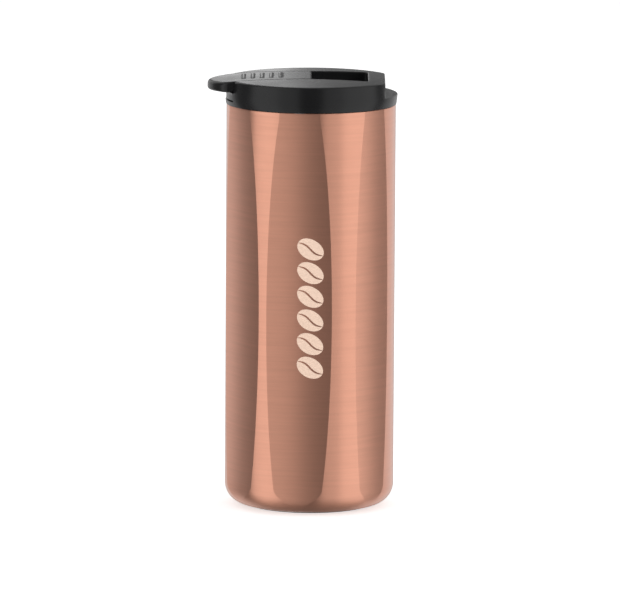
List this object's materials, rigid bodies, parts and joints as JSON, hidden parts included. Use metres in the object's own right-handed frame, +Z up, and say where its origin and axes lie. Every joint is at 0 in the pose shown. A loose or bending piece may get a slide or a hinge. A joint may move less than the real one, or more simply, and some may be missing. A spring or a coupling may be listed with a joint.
{
  "type": "insulated tumbler with lid",
  "caption": "Tall double-walled steel tumbler with shallow facets and a copper finish, closed by a black push-in lid whose thumb lever flips up over the drinking opening.",
  "frame": {"origin": "centre of the foot pad's underside, on the axis of the body", "axes": "+Z up along the body; the lever's thumb tab points along -X; the hinge pin lies along Y"},
  "size_m": [0.0786, 0.0714, 0.1787],
  "materials": {
    "copper_steel": "horizontally brushed steel with a rose copper coating",
    "steel": "satin stainless steel",
    "lid_plastic": "semi-gloss moulded black",
    "plug_plastic": "fine matt moulded black",
    "silicone": "dark silicone",
    "foil": "thin bright foil",
    "braze": "dull solder glass",
    "getter": "sintered metal"
  },
  "bodies": {
    "vessel": {"outer_shell": "copper_steel", "inner_vessel": "steel", "outer_base": "steel", "base_cap": "steel", "foot_pad": "silicone", "vacuum_seal_bead": "braze", "getter_capsule": "getter", "getter_clip": "steel", "reflective_foil": "foil"},
    "lid": {"lid_shell": "lid_plastic", "lid_plug": "plug_plastic", "lid_gasket": "silicone", "hinge_pin": "steel"},
    "lever": {"flip_lever": "lid_plastic", "lever_carrier": "plug_plastic", "sip_seal": "silicone", "vent_seal": "silicone"}
  },
  "joints": [
    {"name": "lid_lift", "type": "slide", "parent": "vessel", "child": "lid", "axis": [0, 0, 1], "range_m": [0, 0.05]},
    {"name": "lever_hinge", "type": "hinge", "parent": "lid", "child": "lever", "pos_m": [-0.0035, 0, 0.1754], "axis": [0, 1, 0], "range_deg": [0, 165]}
  ]
}
